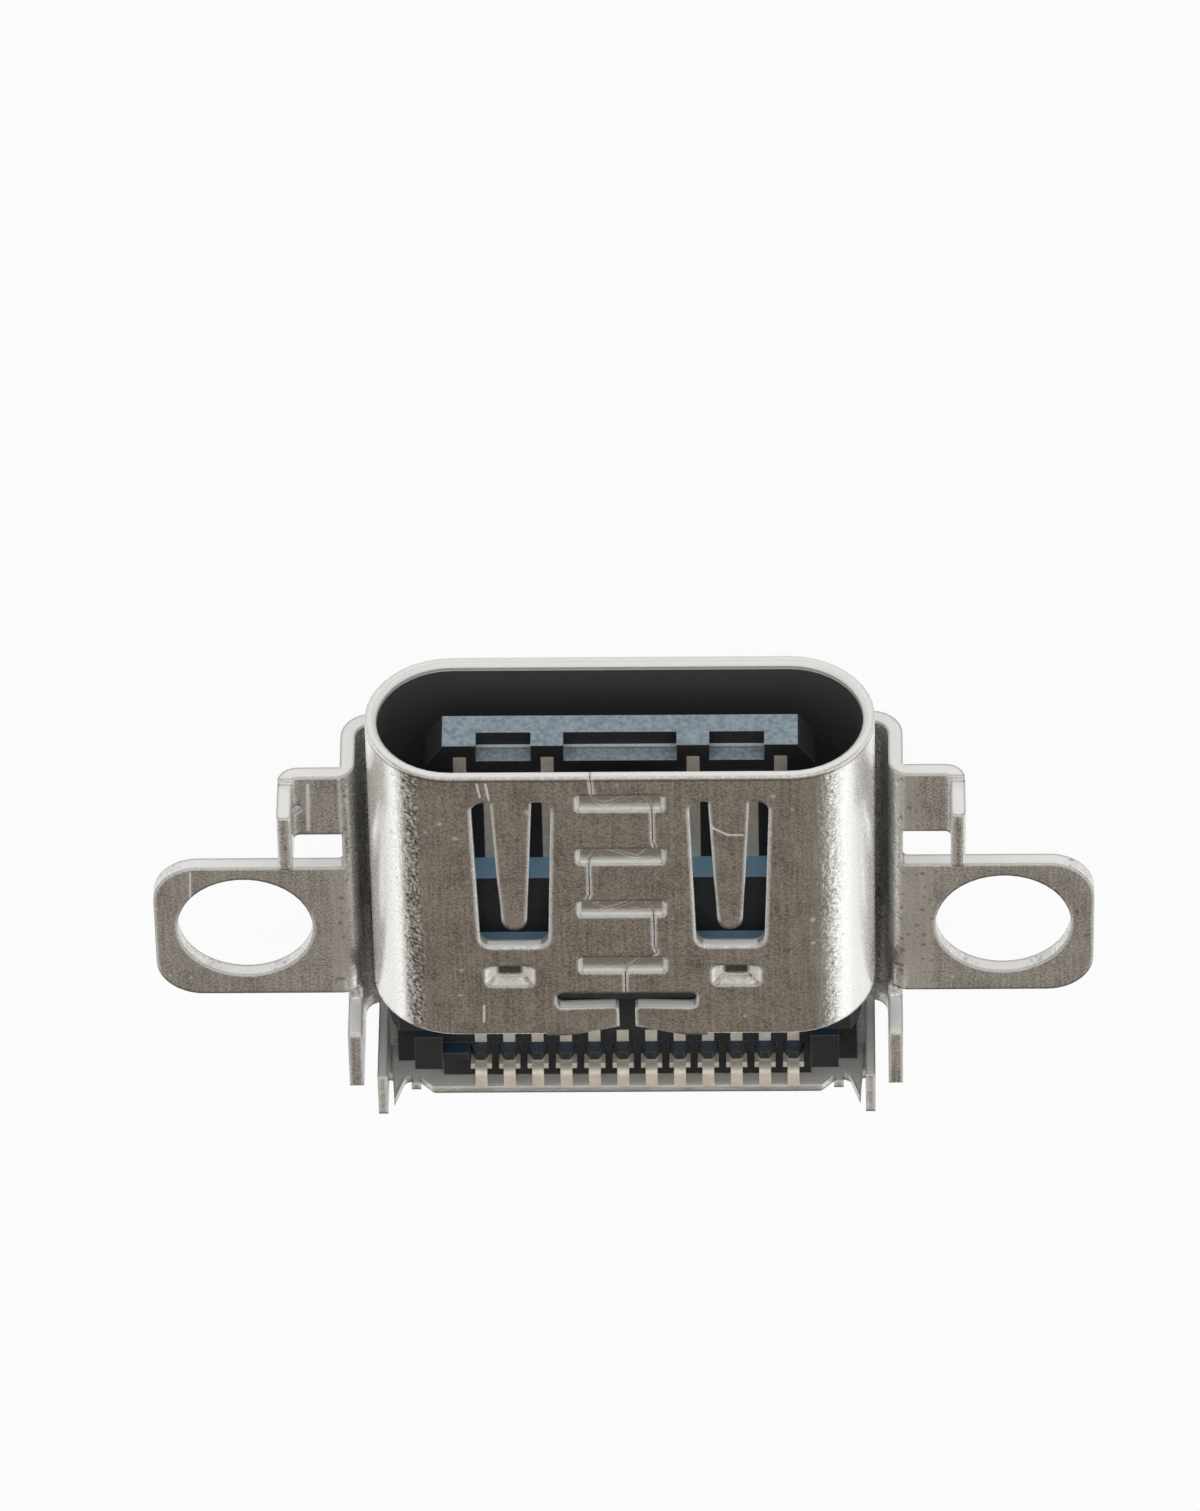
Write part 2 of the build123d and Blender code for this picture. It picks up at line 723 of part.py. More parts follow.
    # room for the drooping flaps and the dimples of the shell
    with BuildSketch(level(shell_top_z - shell_wall - flap_rear_drop - base_clearance)):
        with Locations((stem_x, (flap_front_depth + block_rear_depth) / 2)):
            Rectangle(2 * (flap_bend_x + shell_wall), block_rear_depth - flap_front_depth)
    extrude(amount=margin, mode=Mode.SUBTRACT)
    with BuildSketch(level(shell_top_z - shell_wall - dimple_sink - base_clearance)):
        with Locations((-dimple_x, dimple_depth), (dimple_x, dimple_depth)):
            Rectangle(dimple_width + 2 * base_clearance, dimple_length + 2 * base_clearance)
    extrude(amount=margin, mode=Mode.SUBTRACT)
    # everything moulded in
    with BuildSketch(level(tongue_bottom_z)):
        with Locations((0, insert_front_depth + insert_length / 2)):
            Rectangle(2 * insert_half_width, insert_length)
    extrude(amount=tongue_thickness, mode=Mode.SUBTRACT)
    add(mid_plate.part, mode=Mode.SUBTRACT)
    for contact in near_contacts + far_contacts:
        add(contact.part, mode=Mode.SUBTRACT)

save("shell", shell)
save("bracket", bracket)
save("rear_shield", rear_shield)
save("housing", housing)
save("near_insert", near_insert)
save("far_insert", far_insert)
save("mid_plate", mid_plate)
for place in range(contact_count):
    save("near_contact_%02d" % (place + 1), near_contacts[place])
    save("far_contact_%02d" % (place + 1), far_contacts[place])
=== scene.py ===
"""Looks of a board sunk charging port: its finishes, its studio and its camera.

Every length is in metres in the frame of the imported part: +X runs along the two
screw ears, the mouth faces -Y and +Z leaves the seamed face of the shell.
"""

from __future__ import annotations

import json
import logging
import math
from dataclasses import dataclass
from enum import Enum

import bpy
from mathutils import Matrix, Vector

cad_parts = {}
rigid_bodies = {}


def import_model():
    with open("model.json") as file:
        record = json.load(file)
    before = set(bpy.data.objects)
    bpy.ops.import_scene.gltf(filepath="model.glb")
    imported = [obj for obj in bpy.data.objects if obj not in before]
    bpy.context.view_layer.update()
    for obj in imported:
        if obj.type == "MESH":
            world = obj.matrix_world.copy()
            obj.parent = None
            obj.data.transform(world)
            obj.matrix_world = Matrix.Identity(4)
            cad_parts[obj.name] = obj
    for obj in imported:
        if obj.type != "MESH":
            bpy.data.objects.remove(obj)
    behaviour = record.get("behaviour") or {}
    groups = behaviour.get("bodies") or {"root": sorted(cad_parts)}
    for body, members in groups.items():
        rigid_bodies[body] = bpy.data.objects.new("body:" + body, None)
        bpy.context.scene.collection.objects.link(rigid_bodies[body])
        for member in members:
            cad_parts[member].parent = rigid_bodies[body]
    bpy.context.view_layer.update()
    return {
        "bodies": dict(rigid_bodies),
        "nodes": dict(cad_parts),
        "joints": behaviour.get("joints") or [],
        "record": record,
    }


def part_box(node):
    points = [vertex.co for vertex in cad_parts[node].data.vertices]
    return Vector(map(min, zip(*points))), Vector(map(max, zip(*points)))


LOG = logging.getLogger("charging_port")
MM = 0.001
SHARP = 0.01 * MM
ENDLESS = 1.0
MOUTHWARD = (0.0, -1.0, 0.0)
REARWARD = (0.0, 1.0, 0.0)
UPWARD = (0.0, 0.0, 1.0)
BOTH_SIDES = (-1.0, 1.0)

Colour = tuple[float, float, float, float]
Point = tuple[float, float, float]
Socket = bpy.types.NodeSocket


def srgb(red: float, green: float, blue: float) -> Colour:
    """Turn display values from 0 to 255 into a linear colour.

    Args:
        red: Red display value.
        green: Green display value.
        blue: Blue display value.

    Returns:
        The linear colour with full alpha.
    """
    linear = []
    for value in (red, green, blue):
        share = value / 255.0
        linear.append(share / 12.92 if share <= 0.04045 else ((share + 0.055) / 1.055) ** 2.4)
    return (linear[0], linear[1], linear[2], 1.0)


# Near white: the colour of fresh cut metal in the hair scratches, and of the painted highlights on
# faces, flanks, edges and the rim.
CUT_METAL_AND_HIGHLIGHT = srgb(254, 254, 252)


class Grain(Enum):
    """Direction of the fine marks that rolling or moulding leaves on a surface."""

    ALONG_PORT = (3.0, 0.12, 3.0)
    ACROSS_PORT = (0.12, 3.0, 3.0)
    EVEN = (1.0, 1.0, 1.0)


@dataclass(frozen=True)
class Band:
    """Values at which a mask starts and at which it is full."""

    low: float
    high: float


@dataclass(frozen=True)
class Specks:
    """Scattered specks: how close their cells are, how big and how many they are."""

    scale: float
    size: float
    amount: float


@dataclass(frozen=True)
class Layer:
    """One layer of a finish, with roughness and metal where it changes them."""

    colour: Colour | Socket
    rough: float | None = None
    metal: float | None = None
    share: float = 1.0


@dataclass(frozen=True)
class Scratch:
    """One hair scratch from its start to its end, seen from above, in millimetres."""

    start: tuple[float, float]
    end: tuple[float, float]
    width: float = 0.035


@dataclass(frozen=True)
class PalePatch:
    """One scuffed patch beside a bend: its middle and half size, in millimetres."""

    middle: tuple[float, float]
    half: tuple[float, float]
    share: float


class ShaderNodes:
    """A shader node tree, with short helpers for its nodes and links."""

    def __init__(self, tree: bpy.types.NodeTree) -> None:
        """Keep the tree that the helpers add to."""
        self.tree = tree

    def node(self, kind: str, **settings: object) -> bpy.types.Node:
        """Add a node and set its attributes.

        Args:
            kind: Type name of the node, without its ShaderNode prefix.
            **settings: Attributes to set on the node.

        Returns:
            The new node.
        """
        made = self.tree.nodes.new("ShaderNode" + kind)
        for name, value in settings.items():
            setattr(made, name, value)
        return made

    def link(self, start: Socket, end: Socket) -> None:
        """Join two sockets."""
        self.tree.links.new(start, end)

    def feed(self, node: bpy.types.Node, values: dict[int | str, object]) -> None:
        """Set or link several inputs of a node.

        Args:
            node: Node whose inputs are fed.
            values: Input index or name to a plain value or a socket.
        """
        for key, value in values.items():
            if isinstance(value, Socket):
                self.link(value, node.inputs[key])
            else:
                node.inputs[key].default_value = value

    def math(self, operation: str, first: object, second: object = 0.0) -> Socket:
        """Add a Math node.

        Args:
            operation: Name of the operation.
            first: First value or socket.
            second: Second value or socket.

        Returns:
            The output socket of the node.
        """
        node = self.node("Math", operation=operation)
        self.feed(node, {0: first, 1: second})
        return node.outputs[0]

    def times(self, first: object, second: object) -> Socket:
        """Product of two values."""
        return self.math("MULTIPLY", first, second)

    def weighted(self, *parts: tuple[object, float]) -> Socket:
        """Add up values, each times its weight.

        Args:
            *parts: Pairs of a value or socket and its weight.

        Returns:
            The sum's socket.
        """
        total = self.times(*parts[0])
        for value, weight in parts[1:]:
            total = self.math("ADD", total, self.times(value, weight))
        return total

    def spread(self, value: object, low: object, high: object) -> Socket:
        """Map a value from low..high to 0..1, clamped and eased.

        Args:
            value: Value or socket to map.
            low: Where the result is 0.
            high: Where the result is 1.

        Returns:
            The mapped socket.
        """
        node = self.node("MapRange", interpolation_type="SMOOTHSTEP")
        self.feed(node, {0: value, 1: low, 2: high, 3: 0.0, 4: 1.0})
        return node.outputs[0]

    def fade(self, share: object, first: object, second: object) -> Socket:
        """Mix two numbers, for roughness and the like.

        Args:
            share: 0 gives the first number and 1 the second.
            first: First number.
            second: Second number.

        Returns:
            The mixed number's socket.
        """
        node = self.node("MapRange")
        self.feed(node, {0: share, 1: 0.0, 2: 1.0, 3: first, 4: second})
        return node.outputs[0]

    def blend(self, share: object, first: object, second: object) -> Socket:
        """Mix two colours.

        Args:
            share: 0 gives the first colour and 1 the second.
            first: First colour or socket.
            second: Second colour or socket.

        Returns:
            The mixed colour's socket.
        """
        node = self.node("Mix", data_type="RGBA")
        self.feed(node, {0: share, 6: first, 7: second})
        return node.outputs[2]

    def noise(self, place: object, scale: object, detail: float = 3.0) -> Socket:
        """Add a Noise texture.

        Args:
            place: Socket with the coordinates.
            scale: Scale of the noise.
            detail: Number of octaves.

        Returns:
            The factor socket of the texture.
        """
        node = self.node("TexNoise")
        self.feed(node, {"Vector": place, "Scale": scale, "Detail": detail, "Roughness": 0.55})
        return node.outputs["Fac"]

    def vector_math(self, operation: str, first: object, second: object) -> Socket:
        """Combine two vectors.

        Args:
            operation: Name of the operation.
            first: First vector or socket.
            second: Second vector or socket.

        Returns:
            The resulting vector's socket.
        """
        node = self.node("VectorMath", operation=operation)
        self.feed(node, {0: first, 1: second})
        return node.outputs[0]

    def minus(self, first: object, second: object) -> Socket:
        """Difference of two vectors."""
        return self.vector_math("SUBTRACT", first, second)

    def stretched(self, place: object, stretch: object) -> Socket:
        """Coordinates times a stretch vector."""
        return self.vector_math("MULTIPLY", place, stretch)

    def dot(self, first: object, second: object) -> Socket:
        """Add a dot product of two vectors.

        Args:
            first: First vector or socket.
            second: Second vector or socket.

        Returns:
            The product's socket.
        """
        node = self.node("VectorMath", operation="DOT_PRODUCT")
        self.feed(node, {0: first, 1: second})
        return node.outputs["Value"]


class NodeGroup(ShaderNodes):
    """A shader node group under construction."""

    def __init__(
        self,
        name: str,
        inputs: dict[str, float | Point],
        outputs: tuple[tuple[str, str], ...] = (("Mask", "Float"),),
    ) -> None:
        """Start a group with its sockets.

        Args:
            name: Name of the group.
            inputs: Name of each input to its default value.
            outputs: Name and kind of each output.
        """
        super().__init__(bpy.data.node_groups.new(name, "ShaderNodeTree"))
        self.source = self.tree.nodes.new("NodeGroupInput")
        self.result = self.tree.nodes.new("NodeGroupOutput")
        for title, value in inputs.items():
            kind = "NodeSocketFloat" if isinstance(value, float) else "NodeSocketVector"
            made = self.tree.interface.new_socket(name=title, in_out="INPUT", socket_type=kind)
            made.default_value = value
        for title, kind in outputs:
            self.tree.interface.new_socket(
                name=title, in_out="OUTPUT", socket_type="NodeSocket" + kind
            )

    def given(self, name: str) -> Socket:
        """Socket that carries one of the group's inputs."""
        return self.source.outputs[name]

    def give(self, value: Socket, name: str = "Mask") -> None:
        """Send a value out of the group."""
        self.link(value, self.result.inputs[name])


@dataclass(frozen=True)
class SurfaceEffects:
    """Node groups that several finishes share."""

    grain: bpy.types.NodeTree
    specks: bpy.types.NodeTree
    blotches: bpy.types.NodeTree
    edges: bpy.types.NodeTree
    scratch: bpy.types.NodeTree
    facing: bpy.types.NodeTree
    zone: bpy.types.NodeTree

    @staticmethod
    def build() -> "SurfaceEffects":
        """Build every shared group once.

        Returns:
            The built groups.
        """
        return SurfaceEffects(
            grain=SurfaceEffects.build_grain(),
            specks=SurfaceEffects.build_specks(),
            blotches=SurfaceEffects.build_blotches(),
            edges=SurfaceEffects.build_edges(),
            scratch=SurfaceEffects.build_scratch(),
            facing=SurfaceEffects.build_facing(),
            zone=SurfaceEffects.build_zone(),
        )

    @staticmethod
    def build_grain() -> bpy.types.NodeTree:
        """Fine streaks along one direction.

        Returns:
            A group with Vector, Stretch and Scale inputs and a Mask output.
        """
        octaves, trough, crest = 4.0, 0.32, 0.68
        inputs = {"Vector": (0.0, 0.0, 0.0), "Stretch": Grain.EVEN.value, "Scale": 9000.0}
        group = NodeGroup("rolling_grain", inputs)
        place = group.stretched(group.given("Vector"), group.given("Stretch"))
        fine = group.noise(place, group.given("Scale"), octaves)
        group.give(group.spread(fine, trough, crest))
        return group.tree

    @staticmethod
    def build_specks() -> bpy.types.NodeTree:
        """Small scattered dust specks and pits.

        Returns:
            A group with Vector, Scale, Size and Amount inputs and a Mask output.
        """
        smallest, solid_share = 0.2, 0.4
        inputs = {"Vector": (0.0, 0.0, 0.0), "Scale": 3000.0, "Size": 0.3, "Amount": 0.5}
        group = NodeGroup("dust_specks", inputs)
        cells = group.node("TexVoronoi")
        group.feed(cells, {"Vector": group.given("Vector"), "Scale": group.given("Scale")})
        chance = group.node("SeparateColor")
        group.link(cells.outputs["Color"], chance.inputs[0])
        size = group.times(group.given("Size"), group.math("ADD", chance.outputs[1], smallest))
        dot = group.spread(cells.outputs["Distance"], size, group.times(size, solid_share))
        kept = group.math("LESS_THAN", chance.outputs[0], group.given("Amount"))
        group.give(group.times(dot, kept))
        return group.tree

    @staticmethod
    def build_blotches() -> bpy.types.NodeTree:
        """Soft cloudy patches of stain, wear and handling.

        Returns:
            A group with Vector, Scale, Low and High inputs and a Mask output.
        """
        octaves = 5.0
        inputs = {"Vector": (0.0, 0.0, 0.0), "Scale": 900.0, "Low": 0.4, "High": 0.65}
        group = NodeGroup("cloudy_blotches", inputs)
        cloud = group.noise(group.given("Vector"), group.given("Scale"), octaves)
        group.give(group.spread(cloud, group.given("Low"), group.given("High")))
        return group.tree

    @staticmethod
    def build_edges() -> bpy.types.NodeTree:
        """Edges rounded by shearing in the shading, with a painted highlight except where they
        lean to the rear, where they get painted shade.

        Returns:
            A group with a Radius input, and Mask, Shade and Normal outputs.
        """
        bevel_samples = 6
        turn, lean = Band(0.004, 0.03), Band(0.08, 0.2)
        outputs = (("Mask", "Float"), ("Shade", "Float"), ("Normal", "Vector"))
        group = NodeGroup("edge_highlights_and_shade", {"Radius": 0.03 * MM}, outputs)
        bevel = group.node("Bevel", samples=bevel_samples)
        group.link(group.given("Radius"), bevel.inputs["Radius"])
        rounded, flat = bevel.outputs[0], group.node("NewGeometry").outputs["Normal"]
        away = group.math("SUBTRACT", 1.0, group.dot(rounded, flat))
        turned = group.spread(away, turn.low, turn.high)
        leaning = group.dot(group.minus(rounded, flat), REARWARD)
        rear = group.spread(leaning, lean.low, lean.high)
        # Mask is the painted edge highlight, Shade the painted edge shade.
        group.give(group.times(turned, group.math("SUBTRACT", 1.0, rear)))
        group.give(group.times(turned, rear), "Shade")
        group.give(rounded, "Normal")
        return group.tree

    @staticmethod
    def build_scratch() -> bpy.types.NodeTree:
        """One straight hair scratch between two points, as seen from above.

        Returns:
            A group with Vector, Start, End and Width inputs and a Mask output.
        """
        ragged_scale, thinnest, solid_share = 20000.0, 0.3, 0.4
        from_above = (1.0, 1.0, 0.0)
        origin = (0.0, 0.0, 0.0)
        inputs = {"Vector": origin, "Start": origin, "End": origin, "Width": 0.02 * MM}
        group = NodeGroup("hair_scratch", inputs)
        place, start = group.given("Vector"), group.given("Start")
        reach = group.stretched(group.minus(place, start), from_above)
        whole = group.stretched(group.minus(group.given("End"), start), from_above)
        share = group.math("DIVIDE", group.dot(reach, whole), group.dot(whole, whole))
        share = group.math("MINIMUM", group.math("MAXIMUM", share, 0.0), 1.0)
        scaled = group.node("VectorMath", operation="SCALE")
        group.feed(scaled, {0: whole, "Scale": share})
        away = group.node("VectorMath", operation="LENGTH")
        group.link(group.minus(reach, scaled.outputs[0]), away.inputs[0])
        ragged = group.math("ADD", group.noise(place, ragged_scale), thinnest)
        width = group.times(group.given("Width"), ragged)
        group.give(group.spread(away.outputs["Value"], width, group.times(width, solid_share)))
        return group.tree

    @staticmethod
    def build_facing() -> bpy.types.NodeTree:
        """Faces that look one way.

        Returns:
            A group with Normal, Direction, Low and High inputs and a Mask output.
        """
        inputs = {"Normal": (0.0, 0.0, 0.0), "Direction": MOUTHWARD, "Low": 0.75, "High": 0.95}
        group = NodeGroup("faces_looking", inputs)
        same = group.dot(group.given("Normal"), group.given("Direction"))
        group.give(group.spread(same, group.given("Low"), group.given("High")))
        return group.tree

    @staticmethod
    def build_zone() -> bpy.types.NodeTree:
        """Box shaped zone of the part with soft sides.

        Returns:
            A group with Vector, Middle, Half Size and Soft inputs and a Mask output.
        """
        inputs = {
            "Vector": (0.0, 0.0, 0.0),
            "Middle": (0.0, 0.0, 0.0),
            "Half Size": (ENDLESS, ENDLESS, ENDLESS),
            "Soft": 0.1 * MM,
        }
        group = NodeGroup("soft_zone", inputs)
        away = group.node("VectorMath", operation="ABSOLUTE")
        group.link(group.minus(group.given("Vector"), group.given("Middle")), away.inputs[0])
        parts = group.node("SeparateXYZ")
        group.link(group.minus(away.outputs[0], group.given("Half Size")), parts.inputs[0])
        furthest = group.math("MAXIMUM", parts.outputs[0], parts.outputs[1])
        furthest = group.math("MAXIMUM", furthest, parts.outputs[2])
        group.give(group.spread(furthest, group.given("Soft"), 0.0))
        return group.tree


class Material(ShaderNodes):
    """A material under construction, with its Principled shader ready to feed."""

    def __init__(self, name: str, effects: SurfaceEffects | None = None) -> None:
        """Create the material and find its shader.

        Args:
            name: Name of the material.
            effects: The shared node groups, for a material that uses them.
        """
        self.made = bpy.data.materials.new(name)
        self.made.use_nodes = True
        super().__init__(self.made.node_tree)
        self.effects = effects
        self.shader = self.tree.nodes["Principled BSDF"]
        texture = self.node("TexCoord")
        self.place = texture.outputs["Object"]
        self.looking = texture.outputs["Normal"]
        self.colour: object = (0.8, 0.8, 0.8, 1.0)
        self.rough: object = 0.5
        self.metal: object = 0.0
        self.height: object = None
        self.normal: object = None

    def effect(self, tree: bpy.types.NodeTree, **values: object) -> Socket:
        """Place a shared group.

        Args:
            tree: The shared node group.
            **values: Input values, with underscores for the spaces of their names.

        Returns:
            The group's first output socket.
        """
        node = self.node("Group")
        node.node_tree = tree
        if "Vector" in node.inputs:
            self.link(self.place, node.inputs["Vector"])
        if "Normal" in node.inputs:
            self.link(self.looking, node.inputs["Normal"])
        self.feed(node, {key.replace("_", " "): value for key, value in values.items()})
        return node.outputs[0]

    def grain(self, direction: Grain, scale: float) -> Socket:
        """Mask of fine marks along one direction."""
        return self.effect(self.effects.grain, Stretch=direction.value, Scale=scale)

    def blotches(self, scale: float, band: Band) -> Socket:
        """Mask of cloudy patches."""
        return self.effect(self.effects.blotches, Scale=scale, Low=band.low, High=band.high)

    def specks(self, of: Specks) -> Socket:
        """Mask of scattered specks."""
        return self.effect(self.effects.specks, Scale=of.scale, Size=of.size, Amount=of.amount)

    def facing(self, direction: Point, band: Band) -> Socket:
        """Mask of the faces that look one way."""
        values = {"Direction": direction, "Low": band.low, "High": band.high}
        return self.effect(self.effects.facing, **values)

    def zone(self, middle: Point, half: Point, soft: float, **place: Socket) -> Socket:
        """Mask of a box shaped zone with soft sides."""
        values = {"Middle": middle, "Half_Size": half, "Soft": soft, **place}
        return self.effect(self.effects.zone, **values)

    def behind(self, depth: float) -> Socket:
        """Mask of everything further from the mouth than a place along Y."""
        middle, half = (0.0, depth + ENDLESS / 2, 0.0), (ENDLESS, ENDLESS / 2, ENDLESS)
        return self.effect(self.effects.zone, Middle=middle, Half_Size=half)

    def round_edges(self, radius: float) -> tuple[Socket, Socket]:
        """Round the edges in the shading.

        Args:
            radius: Radius of the edges in metres.

        Returns:
            The mask of the painted edge highlights and the mask of the painted edge shade.
        """
        node = self.node("Group")
        node.node_tree = self.effects.edges
        node.inputs["Radius"].default_value = radius
        self.normal = node.outputs["Normal"]
        return node.outputs["Mask"], node.outputs["Shade"]

    def coat(self, mask: Socket, layer: Layer) -> None:
        """Lay a layer over what is there.

        Args:
            mask: Where the layer lies, from 0 to 1.
            layer: What it looks like and how much of it shows.
        """
        share = mask if layer.share == 1.0 else self.times(mask, layer.share)
        self.colour = self.blend(share, self.colour, layer.colour)
        if layer.rough is not None:
            self.rough = self.fade(share, self.rough, layer.rough)
        if layer.metal is not None:
            self.metal = self.fade(share, self.metal, layer.metal)

    def finish(self, depth: float, strength: float) -> bpy.types.Material:
        """Feed the shader from the layers laid so far.

        Args:
            depth: Depth of the relief in metres.
            strength: Strength of the relief.

        Returns:
            The finished material.
        """
        fed = {"Base Color": self.colour, "Roughness": self.rough, "Metallic": self.metal}
        self.feed(self.shader, fed)
        node = self.node("Bump")
        self.feed(node, {"Strength": strength, "Distance": depth, "Height": self.height})
        if self.normal is not None:
            self.link(self.normal, node.inputs["Normal"])
        self.link(node.outputs[0], self.shader.inputs["Normal"])
        return self.made


@dataclass(frozen=True)
class SheetMetal:
    """Plated sheet: rolled streaks, cloudy stain, dust, pits, chips, and painted highlights on the
    mouth-facing faces, flanks and edges.

    The flanks are the faces that look along X, and the bends turn towards them.
    A pair of numbers for them is for the -X side and the +X side.
    """

    name: str
    bright: Colour = srgb(255, 254, 251)
    dull: Colour = srgb(148, 144, 138)
    grain: Grain = Grain.ALONG_PORT
    metal: float = 1.0
    smooth: float = 0.12
    matt: float = 0.36
    streak_scale: float = 7000.0
    streak_shade: float = 0.25
    streak_relief: float = 0.15
    mottle_scale: float = 21000.0
    mottle_shade: float = 0.58
    stain_scale: float = 1600.0
    stain_band: Band = Band(0.38, 0.66)
    stain_shade: float = 0.17
    peel_scale: float = 8000.0
    pits: Specks = Specks(5200.0, 0.30, 0.18)
    pit_layer: Layer = Layer(srgb(96, 88, 80), 0.5, share=0.55)
    pit_relief: float = -0.9
    dust: Specks = Specks(3300.0, 0.20, 0.40)
    dust_layer: Layer = Layer(srgb(206, 199, 190), 0.6, 0.3, 0.8)
    dust_relief: float = 0.5
    front_band: Band = Band(0.75, 0.95)
    # Painted highlight on the faces that look to the mouth.
    front_highlight_layer: Layer = Layer(CUT_METAL_AND_HIGHLIGHT, 0.3, 0.1)
    # Share of painted highlight on the -X and +X flanks.
    flanks: tuple[float, float] = (0.3, 0.3)
    flank_band: Band = Band(0.50, 0.66)
    flank_highlight_layer: Layer = Layer(CUT_METAL_AND_HIGHLIGHT, metal=0.6)
    flank_peel: float = 0.10
    crackle: tuple[float, float] = (0.5, 0.5)
    bend_start: Band = Band(0.33, 0.44)
    bend_end: Band = Band(0.63, 0.54)
    chip_scale: float = 15000.0
    chip_band: Band = Band(0.54, 0.60)
    chip_layer: Layer = Layer(srgb(48, 46, 43), 0.4)
    fleck_band: Band = Band(0.46, 0.40)
    fleck_layer: Layer = Layer(srgb(235, 233, 228), 0.5, 0.3)
    edge_radius: float = 0.10 * MM
    # Painted highlights on the edges; edge_shadow is painted shade on edges that lean to the rear.
    edge_highlight_cover: tuple[float, float] = (1.0, 0.75)
    edge_highlight_layer: Layer = Layer(CUT_METAL_AND_HIGHLIGHT, 0.4, 0.0)
    edge_shadow: Layer = Layer(srgb(92, 86, 80), 0.4, share=0.7)
    scratch_layer: Layer = Layer(CUT_METAL_AND_HIGHLIGHT, 0.4, 0.2, 0.8)
    scratches: tuple[Scratch, ...] = ()
    relief: float = 0.006 * MM
    strength: float = 0.6

    def build(self, effects: SurfaceEffects) -> Material:
        """Build the material.

        Args:
            effects: The shared node groups.

        Returns:
            The material, still open for more layers.
        """
        made = Material(self.name, effects)
        streaks = made.grain(self.grain, self.streak_scale)
        mottle = made.grain(Grain.EVEN, self.mottle_scale)
        stain = made.blotches(self.stain_scale, self.stain_band)
        shade = made.weighted(
            (streaks, self.streak_shade), (mottle, self.mottle_shade), (stain, self.stain_shade)
        )
        made.colour = made.blend(shade, self.bright, self.dull)
        made.rough = made.fade(mottle, self.smooth, self.matt)
        made.metal = self.metal
        pits = made.specks(self.pits)
        made.coat(pits, self.pit_layer)
        dust = made.specks(self.dust)
        made.coat(dust, self.dust_layer)
        # Painted highlight on the mouth-facing faces.
        made.coat(made.facing(MOUTHWARD, self.front_band), self.front_highlight_layer)
        flanks = self.paint_flank_highlights(made)
        # Painted highlights on the edges, and painted shade on the rear-leaning ones.
        edge_highlights, shaded_edges = made.round_edges(self.edge_radius)
        cover = made.fade(mottle, *self.edge_highlight_cover)
        made.coat(made.times(edge_highlights, cover), self.edge_highlight_layer)
        made.coat(shaded_edges, self.edge_shadow)
        self.scratch(made)
        peel = made.grain(Grain.EVEN, self.peel_scale)
        made.height = made.weighted(
            (streaks, self.streak_relief),
            (peel, made.fade(flanks, 1.0, self.flank_peel)),
            (dust, self.dust_relief),
            (pits, self.pit_relief),
        )
        return made

    def paint_flank_highlights(self, made: Material) -> Socket:
        """Paint highlights on the flanks, and chip the plating on the bends before them.

        Args:
            made: The material under construction.

        Returns:
            The mask of the painted highlights on both flanks.
        """
        chips = made.blotches(self.chip_scale, self.chip_band)
        flecks = made.blotches(self.chip_scale, self.fleck_band)
        masks = []
        for way, crackle, white in zip(BOTH_SIDES, self.crackle, self.flanks):
            side = (way, 0.0, 0.0)
            flank = made.times(made.facing(side, self.flank_band), white)
            # Painted highlight on this flank.
            made.coat(flank, self.flank_highlight_layer)
            bend = made.times(made.facing(side, self.bend_start), made.facing(side, self.bend_end))
            bend = made.times(bend, crackle)
            made.coat(made.times(bend, chips), self.chip_layer)
            made.coat(made.times(bend, flecks), self.fleck_layer)
            masks.append(flank)
        return made.math("ADD", *masks)

    def scratch(self, made: Material) -> None:
        """Lay the hair scratches.

        Args:
            made: The material under construction.
        """
        for mark in self.scratches:
            start, end = [(x * MM, y * MM, 0.0) for x, y in (mark.start, mark.end)]
            line = {"Start": start, "End": end, "Width": mark.width * MM}
            made.coat(made.effect(made.effects.scratch, **line), self.scratch_layer)


